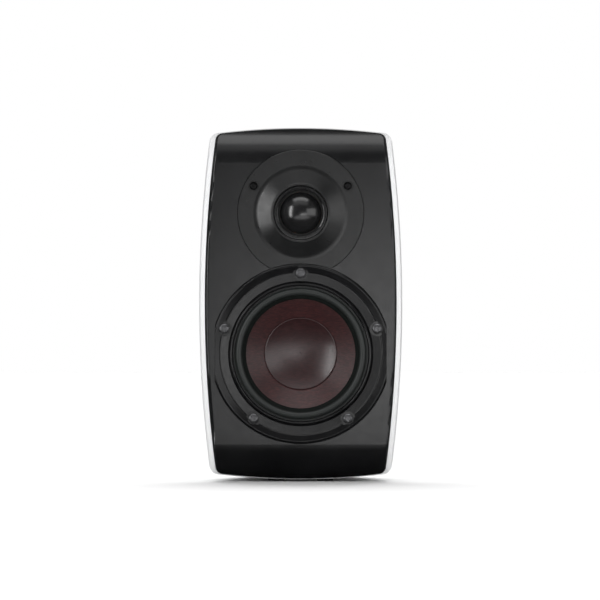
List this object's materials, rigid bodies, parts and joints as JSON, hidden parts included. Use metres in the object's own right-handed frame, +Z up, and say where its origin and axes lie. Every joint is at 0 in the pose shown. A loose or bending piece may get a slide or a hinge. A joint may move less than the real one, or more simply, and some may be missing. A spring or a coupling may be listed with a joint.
{
  "type": "bookshelf loudspeaker",
  "caption": "Compact two-way loudspeaker: bowed white metal cabinet, rolled black front baffle, recessed woofer, collared dome tweeter, rear port and binding posts.",
  "frame": {"origin": "centre of the bounding box's base, on the surface the feet stand on", "axes": "+Z up, the drivers face -Y, +X to the right as seen from the front"},
  "size_m": [0.1466, 0.1314, 0.2543],
  "materials": {
    "shell_white": "fine satin white powder coat on aluminium",
    "baffle_black": "moulded black, satin gloss",
    "black_steel": "satin black paint on cast metal",
    "foam_gasket": "closed-cell foam",
    "black_screw": "black oxide",
    "zinc_screw": "bright zinc",
    "foot_rubber": "matt",
    "brass_insert": "turned",
    "gold_brass": "gold flash",
    "port_plastic": "fine satin",
    "surround_rubber": "matt, slightly dusty",
    "cone_fibre": "pressed fibre, dark red-brown with fine flecks",
    "cap_fibre": "pressed fibre, slightly glossy",
    "spider_cloth": "resin-dipped cotton weave",
    "former_kapton": "thin polyimide tube",
    "former_aluminium": "thin foil",
    "copper_winding": "enamelled copper",
    "steel_plate": "zinc plated",
    "ferrite": "sintered, matt",
    "fibre_board": "pressed phenolic",
    "tinned_tag": "tinned",
    "tinsel": "braided",
    "faceplate_black": "satin black",
    "trim_black": "satin black",
    "dome_metal": "glossy black anodised dome",
    "dome_surround_cloth": "coated cloth",
    "felt": "wool felt",
    "cup_plastic": "moulded, satin",
    "red_plastic": "moulded",
    "black_plastic": "moulded",
    "board_green": "glass-epoxy board",
    "spacer_nylon": "nylon",
    "coil_copper": "enamelled copper winding",
    "capacitor_film": "wrapped film",
    "resistor_cement": "cement body",
    "lead_red": "insulation",
    "wadding": "polyester fibre"
  },
  "bodies": {
    "cabinet": {"cabinet_shell": "shell_white", "front_baffle": "baffle_black", "baffle_gasket": "foam_gasket", "baffle_screws": "zinc_screw", "rubber_feet": "foot_rubber", "mount_insert": "brass_insert", "port_tube": "port_plastic", "woofer_basket": "black_steel", "woofer_gasket": "foam_gasket", "woofer_screws": "black_screw", "woofer_surround": "surround_rubber", "woofer_spider": "spider_cloth", "woofer_top_plate": "steel_plate", "woofer_magnet": "ferrite", "woofer_pole_piece": "steel_plate", "woofer_terminal_strip": "fibre_board", "woofer_terminal_tags": "tinned_tag", "woofer_tinsel_leads": "tinsel", "tweeter_faceplate": "faceplate_black", "tweeter_gasket": "foam_gasket", "tweeter_trim_ring": "trim_black", "tweeter_screws": "black_screw", "tweeter_surround": "dome_surround_cloth", "tweeter_top_plate": "steel_plate", "tweeter_magnet": "ferrite", "tweeter_pole_piece": "steel_plate", "tweeter_rear_chamber": "cup_plastic", "tweeter_felt": "felt", "tweeter_terminals": "tinned_tag", "terminal_cup": "cup_plastic", "cup_screws": "black_screw", "red_post_stud": "gold_brass", "black_post_stud": "gold_brass", "post_nuts": "gold_brass", "post_solder_tags": "tinned_tag", "crossover_board": "board_green", "board_spacers": "spacer_nylon", "board_screws": "zinc_screw", "crossover_coils": "coil_copper", "crossover_capacitors": "capacitor_film", "crossover_resistor": "resistor_cement", "input_leads": "lead_red", "woofer_leads": "lead_red", "tweeter_leads": "lead_red", "damping_pads": "wadding"},
    "woofer_diaphragm": {"woofer_cone": "cone_fibre", "woofer_dust_cap": "cap_fibre", "woofer_coil_former": "former_kapton", "woofer_voice_coil": "copper_winding"},
    "tweeter_diaphragm": {"tweeter_dome": "dome_metal", "tweeter_coil_former": "former_aluminium", "tweeter_voice_coil": "copper_winding"},
    "red_washer": {"red_post_washer": "gold_brass"},
    "red_knob": {"red_post_core": "gold_brass", "red_post_knob": "red_plastic"},
    "black_washer": {"black_post_washer": "gold_brass"},
    "black_knob": {"black_post_core": "gold_brass", "black_post_knob": "black_plastic"}
  },
  "joints": [
    {"name": "woofer_stroke", "type": "slide", "parent": "cabinet", "child": "woofer_diaphragm", "axis": [0, -1, 0], "range_m": [-0.004, 0.004], "stiffness_N_per_m": 1000, "deforming": ["woofer_surround", "woofer_spider", "woofer_tinsel_leads"]},
    {"name": "tweeter_stroke", "type": "slide", "parent": "cabinet", "child": "tweeter_diaphragm", "axis": [0, -1, 0], "range_m": [-0.0003, 0.0003], "stiffness_N_per_m": 800, "deforming": ["tweeter_surround"]},
    {"name": "red_washer_slide", "type": "slide", "parent": "cabinet", "child": "red_washer", "axis": [0, 1, 0], "range_m": [0, 0.006]},
    {"name": "red_knob_turn", "type": "hinge", "parent": "red_washer", "child": "red_knob", "pos_m": [0.00953, 0.0537, 0.07], "axis": [0, 1, 0], "range_deg": [0, 2161]},
    {"name": "black_washer_slide", "type": "slide", "parent": "cabinet", "child": "black_washer", "axis": [0, 1, 0], "range_m": [0, 0.006]},
    {"name": "black_knob_turn", "type": "hinge", "parent": "black_washer", "child": "black_knob", "pos_m": [-0.00953, 0.0537, 0.07], "axis": [0, 1, 0], "range_deg": [0, 2161]}
  ],
  "couplings": [
    {"joint": "red_knob_turn", "follows": "red_washer_slide", "rad_per_m": 6283.2},
    {"joint": "black_knob_turn", "follows": "black_washer_slide", "rad_per_m": 6283.2}
  ]
}
